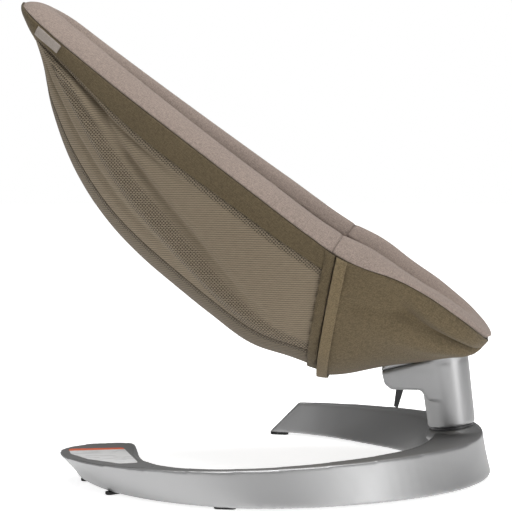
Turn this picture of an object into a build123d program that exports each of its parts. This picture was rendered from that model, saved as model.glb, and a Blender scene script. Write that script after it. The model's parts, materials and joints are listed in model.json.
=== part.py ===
"""Baby bouncer seat: a cast C-shaped floor ring, a tilted swivel post with a side arm,
and a leaf-shaped fabric seat that sways about the post and reclines on the arm.

+X is the feet end, -X the head end, +Z up, floor at Z = 0. The seat is symmetric about Y = 0.
"Near" pieces are on the -Y side, "far" pieces on the +Y side.
"""
import os
from math import atan2, cos, radians, sin

from build123d import *

os.makedirs("parts", exist_ok=True)

# ---- Stand ----
FOOT_HEIGHT = 3.0
RING_FLOOR = 3.0
RING_TOP_HEAD = 35.0        # height of the ring's top at the rear pad
RING_TOP_FEET = 52.0        # and at the front of the ring
RING_TOP_X = (-210.0, 280.0)
RING_WALL = 4.0
PAD_RECESS = 2.0

# ---- Swivel post ----
POST_TILT = 7.5             # degrees, top leaning towards the head
GAP_CENTRE = (234.0, 0.0, 56.5)
GAP = 3.0
POST_R_LOW = 27.5
POST_R_HIGH = 29.0
POST_LENGTH = 78.0
SPINDLE_R = 9.0
BUSH_R = 12.0
RUNNING = 0.05
ARM_HALF = 25.0

# ---- Recline pivot and its lock ----
PIVOT = (226.0, 154.0)      # X, Z
PIVOT_R = 5.0
PIVOT_BOSS_R = 11.5
CHEEK_IN = 25.6
CHEEK_T = 5.0
LOCK_RIM_R = 27.8
BAR = (190.0, 198.0, 142.0, 150.0)     # X and Z limits of the lock bar
BAR_TRAVEL = 7.3
LEVER_PIVOT = (176.0, 112.0)

# ---- Seat, in the rim plane: u runs from the feet end to the head end, depth is below the plane ----
RIM_ORIGIN = (275.0, 0.0, 163.0)
RIM_ANGLE = 35.2
TUBE_R = 8.0
TUBE_DEPTH = 5.0
PAD_HALF_WIDTH = 22.0
PAD_HALF_HEIGHT = 18.0
FABRIC = 2.0
SLING_TOP = 23.5
LINER_TOP = 24.0
RIM_SEAM_U = 200.0
BACK_HALF = 50.0
# Corners of the leaf outline's near half, as (u, half width, corner radius)
RIM_CORNERS = [(17, 56, 90), (105, 116, 230), (215, 136, 340), (400, 106, 1500), (650.6, 40, 42)]
SLING = [(134, 137, 143), (200, 145, 167), (290, 142, 169), (384, 123, 162), (477, 101, 138), (552, 83, 96),
         (596, 70, 56), (630, 52, 34)]
COVER = [(3, 32, 33), (20, 60, 46), (45, 88, 66), (78, 110, 98), (115, 131, 136), (155, 141, 151),
         (205, 146, 165)]
LINER = [(68, 102, 35), (86, 113, 48), (110, 128, 78), (150, 139, 126), (200, 145, 160), (290, 142, 169),
         (384, 123, 162), (477, 101, 138), (552, 83, 96), (596, 70, 56), (628, 52, 32)]
LINER_GAP = 5.0
LINER_INNER = 15.0
STRAP_GAP = 15.6
STRAP_T = 1.6
# Slanted joint between the sling and the front cover, as (u, height above the rim plane)
JOINT_TOP = (196.0, -10.0)
JOINT_LOW = (136.0, -150.0)

rim_u = Vector(-cos(radians(RIM_ANGLE)), 0, sin(radians(RIM_ANGLE)))
rim_n = Vector(sin(radians(RIM_ANGLE)), 0, cos(radians(RIM_ANGLE)))
post_axis = Vector(-sin(radians(POST_TILT)), 0, cos(radians(POST_TILT)))
rim_origin = Vector(*RIM_ORIGIN)
gap_centre = Vector(*GAP_CENTRE)

# Side views: local x and y are world X and Z, or u and height above the rim plane
SIDE = Plane(origin=(0, 0, 0), x_dir=(1, 0, 0), z_dir=(0, -1, 0))
RIM_SIDE = Plane(origin=rim_origin, x_dir=rim_u, z_dir=(0, 1, 0))
RIM = Plane(origin=rim_origin, x_dir=rim_u, z_dir=rim_n)
RING_TOP = Plane(
    origin=(RING_TOP_X[0], 0, RING_TOP_HEAD),
    x_dir=(RING_TOP_X[1] - RING_TOP_X[0], 0, RING_TOP_FEET - RING_TOP_HEAD),
    z_dir=(RING_TOP_HEAD - RING_TOP_FEET, 0, RING_TOP_X[1] - RING_TOP_X[0]),
)


def save(builder, name):
    """Label one finished piece and write it to its own file."""
    builder.part.label = name
    export_step(builder.part, f"parts/{name}.step")


def post_plane(height):
    """Plane across the post at a height above the swivel gap's centre."""
    return Plane(origin=gap_centre + post_axis * height, x_dir=(0, 1, 0), z_dir=post_axis)


def station(u):
    """Plane across the seat at u: local x is world Y, local y is depth below the rim plane."""
    return Plane(origin=rim_origin + rim_u * u, x_dir=(0, 1, 0), z_dir=rim_u)


def side_slab(points, half, plane=SIDE):
    """Straight-sided outline in a side view, extruded to both sides of Y = 0."""
    with BuildPart() as slab:
        with BuildSketch(plane):
            with BuildLine():
                Polyline(*points, close=True)
            make_face()
        extrude(amount=half, both=True)
    return slab.part


def y_cylinder(centre, radius, y_low, y_high):
    """Round bar along Y, centred at (X, Z)."""
    with BuildPart() as bar:
        with BuildSketch(Plane.XZ.offset(-y_low)):
            with Locations(centre):
                Circle(radius)
        extrude(amount=y_low - y_high)
    return bar.part


# ================================ Floor ring ================================
def inset_loop(curves, distance):
    """Curves of a closed clockwise loop, with every point moved inwards."""
    loop = [Vector(*point) for curve in curves for point in curve[:-1]] + [Vector(*curves[-1][-1])]
    moved = []
    for before, here, after in zip(loop[-1:] + loop[:-1], loop, loop[1:] + loop[:1]):
        arriving = (here - before).normalized()
        leaving = (after - here).normalized()
        along = (arriving + leaving).normalized()
        reach = distance / max(0.5, along.dot(leaving))
        moved.append((here.X + along.Y * reach, here.Y - along.X * reach))
    result = []
    start = 0
    for curve in curves:
        result.append(moved[start:start + len(curve)])
        start += len(curve) - 1
    return result


def ring_outline(curves, inset=0.0):
    """Closed C outline: outer curve, rear pad's edge, inner curve and the far arm's tip."""
    outer, pad_edge, inner = inset_loop(curves, inset) if inset else curves
    with BuildSketch() as outline:
        with BuildLine():
            Spline(*outer)
            Spline(*pad_edge)
            Spline(*inner)
            Line(inner[-1], outer[0])
        make_face()
    return outline.sketch


BOTTOM_OUTER = [(-4, 224), (31, 225), (115, 204), (199, 155), (252, 98), (279.7, 0), (252, -98), (199, -155),
                (115, -204), (31, -225), (-52, -213), (-123, -175), (-172, -121), (-188, -94)]
BOTTOM_PAD = [(-188, -94), (-176, -74), (-152, -66), (-134, -68), (-126, -78)]
BOTTOM_INNER = [(-126, -78), (-117, -104), (-96, -156), (-60, -186), (31, -194), (120, -152), (184, -88),
                (204, 0), (184, 88), (128, 143), (77, 183), (16, 210), (-6, 213)]
TOP_OUTER = [(34, 222), (115, 196), (195, 147), (246, 92), (270, 0), (246, -92), (195, -147), (115, -196),
             (31, -221), (-50, -220), (-121, -196), (-176, -160), (-205, -122), (-212, -90)]
TOP_PAD = [(-212, -90), (-198, -64), (-166, -52), (-142, -52), (-131, -62)]
TOP_INNER = [(-131, -62), (-118, -108), (-94, -168), (-52, -200), (31, -206), (124, -166), (192, -100),
             (214, 0), (192, 100), (124, 166), (60, 204), (34, 212)]
# Top of the hollow under the ring, kept inside the flared hull of the rear pad
HOLLOW_OUTER = [*TOP_OUTER[:9], (-51, -214), (-122, -182), (-172, -136), (-190, -106), (-195, -90)]
HOLLOW_PAD = [(-195, -90), (-185, -71), (-159, -61), (-139, -61), (-129, -71)]
HOLLOW_INNER = [(-129, -71), (-118, -106), (-95, -163), (-54, -196), *TOP_INNER[4:]]


def on_ring_top(points):
    """Plan points as local points of the sloping top plane."""
    slope = cos(atan2(RING_TOP_FEET - RING_TOP_HEAD, RING_TOP_X[1] - RING_TOP_X[0]))
    return [((x - RING_TOP_X[0]) / slope, y) for x, y in points]


bottom_outline = [BOTTOM_OUTER, BOTTOM_PAD, BOTTOM_INNER]
top_outline = [on_ring_top(points) for points in (TOP_OUTER, TOP_PAD, TOP_INNER)]
hollow_outline = [on_ring_top(points) for points in (HOLLOW_OUTER, HOLLOW_PAD, HOLLOW_INNER)]
PLATE_OUTLINE = [(-208, -93), (-195, -68), (-166, -56), (-144, -56), (-134, -68), (-123, -110), (-106, -156),
                 (-86, -182), (-84, -195), (-124, -190), (-173, -157), (-202, -121), (-208, -93)]
PEDESTAL_FOOT = (gap_centre.X + 7, 0)
PEDESTAL_R = POST_R_LOW + 3
# Rubber feet, as (X, Y, turn in degrees, height of the screw boss above)
RUBBER_FEET = [(-178, -90, 55, 31), (-134, -156, 42, 33), (-4, -212, 0, 37), (192, -118, -50, 44),
               (254, 0, 90, 46), (192, 118, 50, 44), (8, 217, -4, 10.5)]
FOOT_SIZE = (24.0, 10.0)
FLOOR_T = 1.6
SCREW_R = 1.8
SCREW_HEAD_R = 3.4
SCREW_TIP = 8.5
BOSS_R = 4.2


def along_post(radius, low, high):
    """Round bar along the post's axis."""
    with BuildPart() as bar:
        with BuildSketch(post_plane(low)):
            Circle(radius)
        extrude(amount=high - low)
    return bar.part


def screw(x, y, seat, tip):
    """Pan-head screw pointing up, its head just under the height of its seat."""
    with BuildPart() as body:
        with BuildSketch(Plane.XY.offset(seat - 1.6)):
            with Locations((x, y)):
                Circle(SCREW_HEAD_R)
        extrude(amount=1.6)
        with BuildSketch(Plane.XY.offset(seat)):
            with Locations((x, y)):
                Circle(SCREW_R)
        extrude(amount=tip - seat)
    return body.part


with BuildPart() as base_ring:
    with BuildSketch(Plane.XY.offset(RING_FLOOR)):
        add(ring_outline(bottom_outline))
    with BuildSketch(RING_TOP):
        add(ring_outline(top_outline))
    loft(ruled=True)
    # Hollow underside
    with BuildSketch(Plane.XY.offset(RING_FLOOR)):
        add(ring_outline(bottom_outline, RING_WALL))
    with BuildSketch(RING_TOP.offset(-RING_WALL - PAD_RECESS)):
        add(ring_outline(hollow_outline, RING_WALL))
    loft(ruled=True, mode=Mode.SUBTRACT)
    # Screw bosses over the rubber feet
    for foot_x, foot_y, turn, boss_top in RUBBER_FEET:
        with BuildSketch(Plane.XY.offset(RING_FLOOR + 2)):
            with Locations((foot_x, foot_y)):
                Circle(BOSS_R)
        extrude(amount=boss_top - RING_FLOOR - 2)
    # Swivel pedestal
    with BuildSketch(Plane.XY.offset(RING_FLOOR)):
        with Locations(PEDESTAL_FOOT):
            Circle(PEDESTAL_R)
    with BuildSketch(post_plane(-GAP / 2)):
        Circle(POST_R_LOW + 0.5)
    loft()
    add(along_post(SPINDLE_R, -70, 0), mode=Mode.SUBTRACT)
    add(along_post(16, -70, -34), mode=Mode.SUBTRACT)
    with BuildSketch(Plane.XY):
        for foot_x, foot_y, turn, boss_top in RUBBER_FEET:
            with Locations((foot_x, foot_y)):
                Circle(SCREW_R)
    extrude(amount=SCREW_TIP + 0.5, mode=Mode.SUBTRACT)
    # Recess in the rear pad's top
    with BuildSketch(RING_TOP):
        with BuildLine():
            Spline(*on_ring_top(PLATE_OUTLINE))
        make_face()
    extrude(amount=-PAD_RECESS, mode=Mode.SUBTRACT)
save(base_ring, "base_ring")

with BuildPart() as pad_plate:
    with BuildSketch(RING_TOP.offset(-PAD_RECESS)):
        with BuildLine():
            Spline(*on_ring_top(PLATE_OUTLINE))
        make_face()
    extrude(amount=PAD_RECESS - 0.4)
save(pad_plate, "pad_plate")

LABEL = [(-203, -90), (-140, -86), (-105, -172), (-124, -177), (-166, -150), (-193, -119)]
with BuildPart() as pad_label:
    with BuildSketch(RING_TOP.offset(-0.4)):
        with BuildLine():
            Polyline(*on_ring_top(LABEL), close=True)
        make_face()
        fillet(vertices(), 4)
    extrude(amount=0.4)
save(pad_label, "pad_label")

with BuildPart() as base_floor:
    with BuildSketch(Plane.XY.offset(RING_FLOOR)):
        add(ring_outline(bottom_outline, RING_WALL + 2))
        with Locations(PEDESTAL_FOOT):
            Circle(PEDESTAL_R + 0.5, mode=Mode.SUBTRACT)
        for foot_x, foot_y, turn, boss_top in RUBBER_FEET:
            with Locations((foot_x, foot_y)):
                Circle(SCREW_R, mode=Mode.SUBTRACT)
    extrude(amount=FLOOR_T)
save(base_floor, "base_floor")

for number, (foot_x, foot_y, turn, boss_top) in enumerate(RUBBER_FEET, 1):
    with BuildPart() as rubber_foot:
        with BuildSketch(Plane.XY):
            with Locations(Location((foot_x, foot_y), turn)):
                SlotOverall(*FOOT_SIZE)
        extrude(amount=FOOT_HEIGHT)
        chamfer(rubber_foot.edges().group_by(Axis.Z)[0], 0.6)
        with BuildSketch(Plane.XY):
            with Locations((foot_x, foot_y)):
                Circle(SCREW_HEAD_R + 0.1)
        extrude(amount=2, mode=Mode.SUBTRACT)
        with BuildSketch(Plane.XY):
            with Locations((foot_x, foot_y)):
                Circle(SCREW_R)
        extrude(amount=FOOT_HEIGHT, mode=Mode.SUBTRACT)
    save(rubber_foot, f"rubber_foot_{number}")

with BuildPart() as foot_screws:
    for foot_x, foot_y, turn, boss_top in RUBBER_FEET:
        add(screw(foot_x, foot_y, 2.0, SCREW_TIP))
save(foot_screws, "foot_screws")

# ================================ Spindle and swivel ================================
SPINDLE_LOW = -46.0
SPINDLE_HIGH = 51.0
CLIP_T = 2.0
with BuildPart() as spindle:
    add(along_post(SPINDLE_R, SPINDLE_LOW, SPINDLE_HIGH))
save(spindle, "spindle")

with BuildPart() as spindle_washer:
    with BuildSketch(post_plane(-36)):
        Circle(14.5)
        Circle(SPINDLE_R, mode=Mode.SUBTRACT)
    extrude(amount=2)
save(spindle_washer, "spindle_washer")

with BuildPart() as spindle_nut:
    with BuildSketch(post_plane(-44)):
        RegularPolygon(14, 6)
        Circle(SPINDLE_R, mode=Mode.SUBTRACT)
    extrude(amount=8)
save(spindle_nut, "spindle_nut")

with BuildPart() as swivel_washer:
    with BuildSketch(post_plane(-GAP / 2)):
        Circle(POST_R_LOW - 2.5)
        Circle(SPINDLE_R + 0.3, mode=Mode.SUBTRACT)
    extrude(amount=GAP - 0.3)
save(swivel_washer, "swivel_washer")

BUSHES = {"lower_bush": (GAP / 2, 16.0), "upper_bush": (32.0, 45.0)}
for bush_name, (low, high) in BUSHES.items():
    with BuildPart() as bush:
        with BuildSketch(post_plane(low)):
            Circle(BUSH_R)
            Circle(SPINDLE_R + RUNNING, mode=Mode.SUBTRACT)
        extrude(amount=high - low)
    save(bush, bush_name)

with BuildPart() as thrust_washer:
    with BuildSketch(post_plane(45.3)):
        Circle(13)
        Circle(SPINDLE_R + 0.3, mode=Mode.SUBTRACT)
    extrude(amount=1.7)
save(thrust_washer, "thrust_washer")

with BuildPart() as spindle_clip:
    with BuildSketch(post_plane(SPINDLE_HIGH - 3.5)):
        Circle(13)
        Circle(SPINDLE_R, mode=Mode.SUBTRACT)
    extrude(amount=CLIP_T)
save(spindle_clip, "spindle_clip")

# ================================ Post with its side arm ================================
ARM_OUTLINE = [(152, 123), (156, 107), (164, 100.5), (198, 100.5), (206, 88), (228, 88), (228, 122),
               (242, 138), (243, 150), (238, 158), (232, 165), (218, 166), (200, 161), (176, 150), (158, 136)]
ARM_FLANK = [(153, 121), (156, 107), (164, 100.5), (198, 100.5), (206, 88), (228, 88), (224, 123), (186, 123)]
FLANK_HALF = 27.5
ARM_CAVITY = [(157, 122), (160, 111), (167, 104.5), (206, 104.5), (206, 157.5), (180, 148), (163, 134)]
CAVITY_HALF = 18.0
CAP_REGION = [(140, 119), (178, 129), (208, 137), (208, 190), (140, 190)]
LEVER_SLOT = [(161, 90), (188, 90), (188, 106), (161, 106)]
BAR_WINDOW = [(BAR[0] - BAR_TRAVEL - 0.4, BAR[2] - 0.4), (BAR[1] + 0.4, BAR[2] - 0.4),
              (BAR[1] + 0.4, BAR[3] + 0.4), (BAR[0] - BAR_TRAVEL - 0.4, BAR[3] + 0.4)]
LEVER_PIN_R = 2.5
# Springs that push the lock bar out
SPRING_WIRE = 0.9
SPRING_R = 2.2
SPRING_LEFT = 175.0
SPRING_Y = 12.0
SPRING_Z = 144.3
SPRING_TURNS = 5

with BuildPart() as arm_body:
    with BuildSketch(post_plane(GAP / 2)):
        Circle(POST_R_LOW)
    with BuildSketch(post_plane(POST_LENGTH)):
        Circle(POST_R_HIGH)
    loft()
    fillet(arm_body.edges().sort_by(Axis.Z)[-1], 3)
    with BuildSketch(SIDE):
        with BuildLine():
            Polyline(*ARM_OUTLINE, close=True)
        make_face()
        fillet(vertices(), 4)
    extrude(amount=ARM_HALF, both=True)
    with BuildSketch(SIDE):
        with BuildLine():
            Polyline(*ARM_FLANK, close=True)
        make_face()
        fillet(vertices(), 2)
    extrude(amount=FLANK_HALF, both=True)
    add(side_slab(ARM_CAVITY, CAVITY_HALF), mode=Mode.SUBTRACT)
    add(side_slab(LEVER_SLOT, 8), mode=Mode.SUBTRACT)
    add(side_slab(BAR_WINDOW, 40), mode=Mode.SUBTRACT)
    add(y_cylinder(PIVOT, PIVOT_R, -40, 40), mode=Mode.SUBTRACT)
    add(y_cylinder(LEVER_PIVOT, LEVER_PIN_R, -23, 23), mode=Mode.SUBTRACT)
    add(along_post(10, 0, 50), mode=Mode.SUBTRACT)
    add(along_post(BUSH_R, 0, 16), mode=Mode.SUBTRACT)
    add(along_post(BUSH_R, 32, 45), mode=Mode.SUBTRACT)
    add(along_post(14, 45, 55), mode=Mode.SUBTRACT)
    with BuildSketch(Plane.YZ.offset(SPRING_LEFT)):
        with Locations((-SPRING_Y, SPRING_Z), (SPRING_Y, SPRING_Z)):
            Circle(SPRING_R + 0.3)
    extrude(amount=BAR[0] - SPRING_LEFT, mode=Mode.SUBTRACT)

with BuildPart() as post_housing:
    add(arm_body.part)
    add(side_slab(CAP_REGION, 40), mode=Mode.SUBTRACT)
save(post_housing, "post_housing")

with BuildPart() as arm_cap:
    add(arm_body.part)
    add(side_slab(CAP_REGION, 40), mode=Mode.INTERSECT)
save(arm_cap, "arm_cap")

# Trigger lever, its pin, the lock bar that it draws back, and the springs
LEVER = [(166.5, 78.5), (171, 75.5), (178, 99), (183, 106), (186, 120), (187, 132), (205, 132), (205, 146),
         (199.2, 146), (199.2, 137), (182, 137), (176, 120), (170, 114), (169, 99)]
with BuildPart() as recline_lever:
    add(side_slab(LEVER, 6.5))
    add(y_cylinder(LEVER_PIVOT, LEVER_PIN_R + RUNNING, -10, 10), mode=Mode.SUBTRACT)
save(recline_lever, "recline_lever")

with BuildPart() as lever_pin:
    add(y_cylinder(LEVER_PIVOT, LEVER_PIN_R, -22.5, 22.5))
save(lever_pin, "lever_pin")

BAR_CENTRE = ((BAR[0] + BAR[1]) / 2, (BAR[2] + BAR[3]) / 2)
BAR_HALF = CHEEK_IN + CHEEK_T + 0.5
with BuildPart() as lock_bar:
    with BuildSketch(SIDE):
        with Locations(BAR_CENTRE):
            Rectangle(BAR[1] - BAR[0], BAR[3] - BAR[2])
        fillet(vertices(), 1.2)
    extrude(amount=BAR_HALF, both=True)
save(lock_bar, "lock_bar")

for side_name, side_y in {"near": -SPRING_Y, "far": SPRING_Y}.items():
    with BuildPart() as bar_spring:
        spring_length = BAR[0] - SPRING_LEFT - 2 * SPRING_WIRE
        with BuildLine() as coil:
            Helix(pitch=spring_length / SPRING_TURNS, height=spring_length, radius=SPRING_R - SPRING_WIRE / 2,
                  center=(SPRING_LEFT + SPRING_WIRE, side_y, SPRING_Z), direction=(1, 0, 0))
        with BuildSketch(Plane(origin=coil.line @ 0, z_dir=coil.line % 0)):
            Circle(SPRING_WIRE / 2)
        sweep(is_frenet=True)
    save(bar_spring, f"bar_spring_{side_name}")

with BuildPart() as recline_pin:
    add(y_cylinder(PIVOT, PIVOT_R, -CHEEK_IN - CHEEK_T - 0.6, CHEEK_IN + CHEEK_T + 0.6))
save(recline_pin, "recline_pin")

for side_name, side in {"near": -1, "far": 1}.items():
    with BuildPart() as pin_clip:
        inner_y = CHEEK_IN + CHEEK_T + 0.6
        ends = sorted((side * inner_y, side * (inner_y + 1.5)))
        add(y_cylinder(PIVOT, PIVOT_R + 3, *ends))
    save(pin_clip, f"pin_cap_{side_name}")

# ================================ Seat frame ================================
def rim_bar(half_width, half_height):
    """Bar of oval section all round the leaf outline: one half swept, then mirrored."""
    corners = [(u, half) for u, half, radius in RIM_CORNERS]
    start = rim_origin + rim_u * RIM_CORNERS[0][0] - rim_n * TUBE_DEPTH
    with BuildPart() as bar:
        with BuildLine(RIM.offset(-TUBE_DEPTH)) as path:
            FilletPolyline((corners[0][0], 0), *corners, (corners[-1][0], 0),
                           radius=[radius for u, half, radius in RIM_CORNERS])
        with BuildSketch(Plane(origin=start, x_dir=rim_u, z_dir=path.line % 0)):
            Ellipse(half_width, half_height)
        sweep()
        mirror(about=Plane.XZ)
    return bar.part


tube_solid = rim_bar(TUBE_R, TUBE_R)
with BuildPart() as frame_tube:
    add(tube_solid)
save(frame_tube, "frame_tube")

HUB_ARM = [(222, 143), (236, 145), (262, 157), (268, 168), (260, 180), (246, 178), (228, 166)]
HUB_BRIDGE = [(243, 158), (253, 158), (253, 172), (245, 172)]
with BuildPart() as seat_hub:
    with BuildSketch(SIDE):
        with BuildLine():
            Polyline(*HUB_ARM, close=True)
        make_face()
        with Locations(PIVOT):
            Circle(PIVOT_BOSS_R)
        with BuildLine():
            rim_start = (PIVOT[0] - LOCK_RIM_R * cos(radians(14)), PIVOT[1] + LOCK_RIM_R * sin(radians(14)))
            rim_end = (PIVOT[0] - LOCK_RIM_R * cos(radians(34)), PIVOT[1] - LOCK_RIM_R * sin(radians(34)))
            rim_middle = (PIVOT[0] - LOCK_RIM_R * cos(radians(10)), PIVOT[1] - LOCK_RIM_R * sin(radians(10)))
            ThreePointArc(rim_start, rim_middle, rim_end)
            Line(rim_end, (PIVOT[0], PIVOT[1] - 10))
            Line((PIVOT[0], PIVOT[1] - 10), (PIVOT[0], PIVOT[1] + 10))
            Line((PIVOT[0], PIVOT[1] + 10), rim_start)
        make_face()
    extrude(amount=CHEEK_IN + CHEEK_T, both=True)
    with BuildSketch(SIDE):
        Rectangle(900, 900)
    extrude(amount=CHEEK_IN, both=True, mode=Mode.SUBTRACT)
    add(side_slab(HUB_BRIDGE, CHEEK_IN + 1))
    add(y_cylinder(PIVOT, PIVOT_R + RUNNING, -60, 60), mode=Mode.SUBTRACT)
    add(tube_solid, mode=Mode.SUBTRACT)
save(seat_hub, "seat_hub")

# Padded rim, in a head-end and a feet-end length
with BuildPart() as rim_roll:
    add(rim_bar(PAD_HALF_WIDTH, PAD_HALF_HEIGHT))
    add(tube_solid, mode=Mode.SUBTRACT)
    add(seat_hub.part, mode=Mode.SUBTRACT)

RIM_PIECES = {"head_rim_pad": (RIM_SEAM_U + 0.2, 900), "feet_rim_pad": (-100, RIM_SEAM_U - 0.2)}
for piece_name, (low, high) in RIM_PIECES.items():
    with BuildPart() as rim_pad:
        add(rim_roll.part)
        limits = [(low, -100), (high, -100), (high, 100), (low, 100)]
        add(side_slab(limits, 300, RIM_SIDE), mode=Mode.INTERSECT)
    save(rim_pad, piece_name)


# ================================ Fabric bowl ================================
def bowl(table, top, inset, raise_top=0.0):
    """Solid lofted through the stations of a table, inset from the outer surface."""
    with BuildPart() as solid:
        for u, half_width, depth in table:
            half = half_width - inset
            with BuildSketch(station(u)):
                with BuildLine():
                    Polyline((-half, top), (-half, top - raise_top), (half, top - raise_top), (half, top))
                    EllipticalCenterArc((0, top), half, depth - inset - top, 0, arc_size=180)
                make_face()
        loft()
    return solid.part


def bowl_shell(table, top, outer, inner):
    """Skin between two insets of the bowl, open along the rim."""
    outside = [row for row in table if row[2] - outer > top + 4]
    inside = [row for row in table if row[2] - inner > top + 4]
    thickness = inner - outer
    first = (inside[0][0] + thickness, *inside[0][1:])
    last = (inside[-1][0] - thickness, *inside[-1][1:])
    with BuildPart() as shell:
        add(bowl(outside, top, outer, 0.3))
        add(bowl([first, *inside[1:-1], last], top, inner, 3.0), mode=Mode.SUBTRACT)
    return shell.part


def joint_offset(distance):
    """Slanted joint's two points, moved towards the head end, as a line drawn past both ends."""
    return [(JOINT_TOP[0] + distance + 9, 20), (JOINT_LOW[0] + distance - 18, -200)]


def behind(distance):
    top_point, low_point = joint_offset(distance)
    return side_slab([top_point, low_point, (900, -200), (900, 20)], 300, RIM_SIDE)


def ahead_of(distance):
    top_point, low_point = joint_offset(distance)
    return side_slab([top_point, low_point, (-100, -200), (-100, 20)], 300, RIM_SIDE)


BINDING = 11.0
sling_shell = bowl_shell(SLING, SLING_TOP, 0, FABRIC)
BAND_EDGE = [(100, -46), (330, -46), (560, -38), (620, -34), (700, -30)]
band_region = side_slab([(100, 0), *BAND_EDGE, (700, 0)], 300, RIM_SIDE)

with BuildPart() as side_band:
    add(sling_shell)
    add(behind(BINDING + 0.2), mode=Mode.INTERSECT)
    add(band_region, mode=Mode.INTERSECT)
save(side_band, "side_band")

with BuildPart() as sling_body:
    add(sling_shell)
    add(behind(BINDING + 0.2), mode=Mode.INTERSECT)
    add(band_region, mode=Mode.SUBTRACT)

PANELS = {"mesh_panel_near": (-400, -BACK_HALF - 0.1), "back_panel": (-BACK_HALF, BACK_HALF),
          "mesh_panel_far": (BACK_HALF + 0.1, 400)}
for panel_name, (low, high) in PANELS.items():
    with BuildPart() as panel:
        add(sling_body.part)
        with BuildSketch(Plane.XZ.offset(-high)):
            Rectangle(2000, 2000)
        extrude(amount=high - low, mode=Mode.INTERSECT)
    save(panel, panel_name)

with BuildPart() as sling_binding:
    add(bowl_shell(SLING, SLING_TOP, -1.0, FABRIC))
    add(behind(0.4), mode=Mode.INTERSECT)
    add(ahead_of(BINDING), mode=Mode.INTERSECT)
save(sling_binding, "sling_binding")

ARM_OPENING = [(118, 60), (265, 60), (265, 150), (256, 186), (118, 150)]
with BuildPart() as front_cover:
    add(bowl_shell(COVER, SLING_TOP, 0, FABRIC))
    add(ahead_of(-BINDING - 0.2), mode=Mode.INTERSECT)
    add(side_slab(ARM_OPENING, 38), mode=Mode.SUBTRACT)
save(front_cover, "front_cover")

with BuildPart() as cover_hem:
    add(bowl_shell(COVER, SLING_TOP, -1.2, FABRIC))
    add(ahead_of(-0.4), mode=Mode.INTERSECT)
    add(behind(-BINDING), mode=Mode.INTERSECT)
save(cover_hem, "cover_hem")

TAG = [(606, -22), (640, -22), (640, -33), (606, -34)]
with BuildPart() as side_tag:
    add(bowl(SLING, SLING_TOP, -1.6, 1.0))
    add(bowl(SLING, SLING_TOP, -0.4, 2.0), mode=Mode.SUBTRACT)
    with BuildSketch(RIM_SIDE):
        with BuildLine():
            Polyline(*TAG, close=True)
        make_face()
    extrude(amount=-200, mode=Mode.INTERSECT)
save(side_tag, "side_tag")

# ================================ Seat liner and harness ================================
with BuildPart() as seat_liner:
    add(bowl_shell(LINER, LINER_TOP, LINER_GAP, LINER_INNER))
save(seat_liner, "seat_liner")

BUCKLE_U = 240.0
BUCKLE_DEPTH = 150.0
BUCKLE = (34.0, 42.0, 15.0)
STRAP_HALF = 12.0
strap_skin = bowl_shell(LINER, LINER_TOP, STRAP_GAP, STRAP_GAP + STRAP_T)


def strap_length(u_low, u_high, y_low, y_high):
    """Length of webbing lying on the liner between limits along and across the seat."""
    with BuildPart() as strap:
        add(strap_skin)
        with BuildSketch(Plane.XZ.offset(-y_high)):
            Rectangle(2000, 2000)
        extrude(amount=y_high - y_low, mode=Mode.INTERSECT)
        add(side_slab([(u_low, -60), (u_high, -60), (u_high, -190), (u_low, -190)], 300, RIM_SIDE),
            mode=Mode.INTERSECT)
    return strap.part


STRAPS = {
    "waist_strap_near": (BUCKLE_U - STRAP_HALF, BUCKLE_U + STRAP_HALF, -400, -41),
    "waist_strap_far": (BUCKLE_U - STRAP_HALF, BUCKLE_U + STRAP_HALF, 41, 400),
    "crotch_strap": (176, BUCKLE_U - BUCKLE[0] / 2 - 0.3, -STRAP_HALF, STRAP_HALF),
}
for strap_name, limits in STRAPS.items():
    with BuildPart() as webbing:
        add(strap_length(*limits))
    save(webbing, strap_name)

buckle_plane = Plane(
    origin=rim_origin + rim_u * BUCKLE_U - rim_n * BUCKLE_DEPTH, x_dir=rim_u, z_dir=rim_n
)
BUTTON = (16.0, 14.0)
with BuildPart() as buckle:
    with BuildSketch(buckle_plane):
        RectangleRounded(BUCKLE[0], BUCKLE[1], 7)
    extrude(amount=BUCKLE[2])
    fillet(buckle.faces().sort_by(Axis((0, 0, 0), tuple(rim_n)))[-1].edges(), 2.5)
    with BuildSketch(buckle_plane.offset(BUCKLE[2] - 7)):
        RectangleRounded(BUTTON[0] + 0.6, BUTTON[1] + 0.6, 3.3)
    extrude(amount=10, mode=Mode.SUBTRACT)
    with BuildSketch(buckle_plane.offset(3)):
        Rectangle(16.6, BUCKLE[1] + 4)
    extrude(amount=4, mode=Mode.SUBTRACT)
save(buckle, "buckle")

with BuildPart() as buckle_button:
    with BuildSketch(buckle_plane.offset(BUCKLE[2] - 4.5)):
        RectangleRounded(*BUTTON, 3)
    extrude(amount=5.5)
    fillet(buckle_button.faces().sort_by(Axis((0, 0, 0), tuple(rim_n)))[-1].edges(), 1)
save(buckle_button, "buckle_button")

for side_name, side in {"near": 1, "far": -1}.items():
    with BuildPart() as tongue:
        with BuildSketch(buckle_plane.offset(3.4)):
            with Locations((0, side * 20)):
                RectangleRounded(16, 34, 2)
            with Locations((0, side * 32)):
                RectangleRounded(28, 14, 3)
        extrude(amount=3)
    save(tongue, f"buckle_tongue_{side_name}")
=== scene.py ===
"""Looks of the baby bouncer seat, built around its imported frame. Seat sizes are in millimetres."""

import json
from math import cos, pi, radians, sin

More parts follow.
